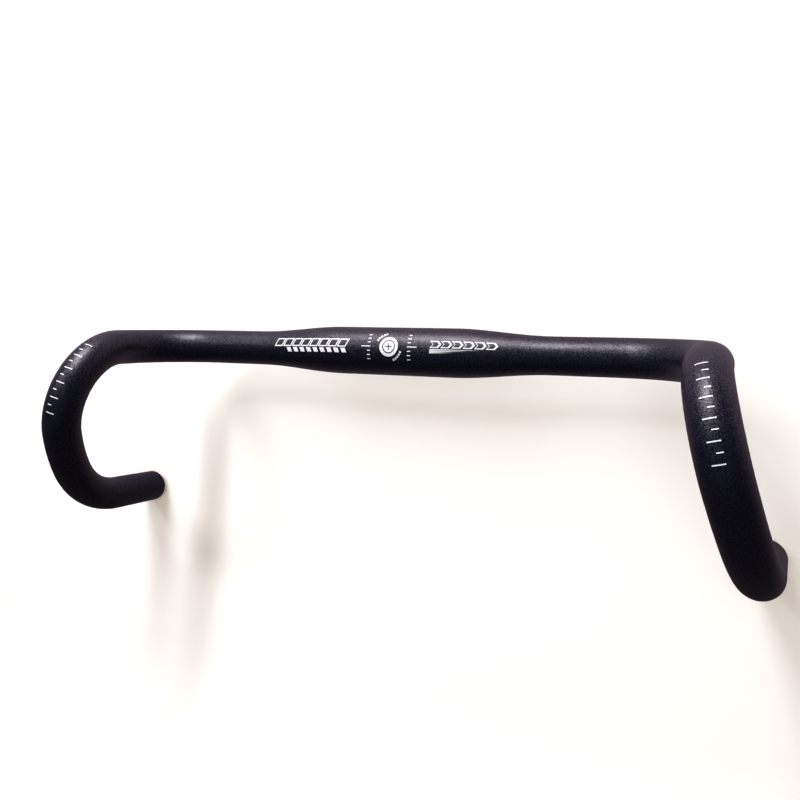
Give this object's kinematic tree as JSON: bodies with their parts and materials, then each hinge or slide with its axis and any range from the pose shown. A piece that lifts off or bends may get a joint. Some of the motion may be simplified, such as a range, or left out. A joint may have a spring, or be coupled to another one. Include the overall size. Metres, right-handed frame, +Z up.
{
  "type": "drop handlebar",
  "caption": "Flared drop handlebar bent from one butted aluminium tube, with a thick clamp middle, printed lever and clamp scales, and screwed expanding plugs in its open ends.",
  "frame": {"origin": "middle of the stem clamp, on the axis of the tops", "axes": "+X along the tops, -Y forwards, towards the hooks, +Z up; the sides mirror each other in X, and the drop ends are level"},
  "size_m": [0.478, 0.1388, 0.142],
  "materials": {
    "anodised_tube": "bead-blasted, satin black anodised",
    "print_ink": "thin white screen print",
    "plug_plastic": "fine-grained black nylon",
    "plug_rubber": "matt grey-black rubber",
    "plug_brass": "turned brass",
    "plug_steel": "zinc-plated steel"
  },
  "bodies": {
    "handlebar": {"handlebar_tube": "anodised_tube", "centre_mark": "print_ink", "clamp_scale_left": "print_ink", "clamp_scale_right": "print_ink", "stripe_graphic_left": "print_ink", "stripe_graphic_right": "print_ink", "lever_scale_left": "print_ink", "lever_scale_right": "print_ink", "plug_cap_left": "plug_plastic", "plug_cap_right": "plug_plastic", "plug_sleeve_left": "plug_rubber", "plug_sleeve_right": "plug_rubber"},
    "left_plug_screw": {"plug_screw_left": "plug_steel"},
    "left_plug_nut": {"plug_nut_left": "plug_brass"},
    "right_plug_screw": {"plug_screw_right": "plug_steel"},
    "right_plug_nut": {"plug_nut_right": "plug_brass"}
  },
  "joints": [
    {"name": "left_nut_travel", "type": "slide", "parent": "handlebar", "child": "left_plug_nut", "axis": [-0.1136, 0.9935, 0.0029], "range_m": [-0.0028, 0]},
    {"name": "left_screw_turn", "type": "hinge", "parent": "handlebar", "child": "left_plug_screw", "pos_m": [-0.22724, 0.03413, -0.1141], "axis": [-0.1136, 0.9935, 0.0029], "range_deg": [0, 1445]},
    {"name": "right_nut_travel", "type": "slide", "parent": "handlebar", "child": "right_plug_nut", "axis": [0.1136, 0.9935, 0.0029], "range_m": [-0.0028, 0]},
    {"name": "right_screw_turn", "type": "hinge", "parent": "handlebar", "child": "right_plug_screw", "pos_m": [0.22724, 0.03413, -0.1141], "axis": [0.1136, 0.9935, 0.0029], "range_deg": [0, 1445]}
  ],
  "couplings": [
    {"joint": "left_screw_turn", "follows": "left_nut_travel", "rad_per_m": -8976},
    {"joint": "right_screw_turn", "follows": "right_nut_travel", "rad_per_m": -8976}
  ]
}
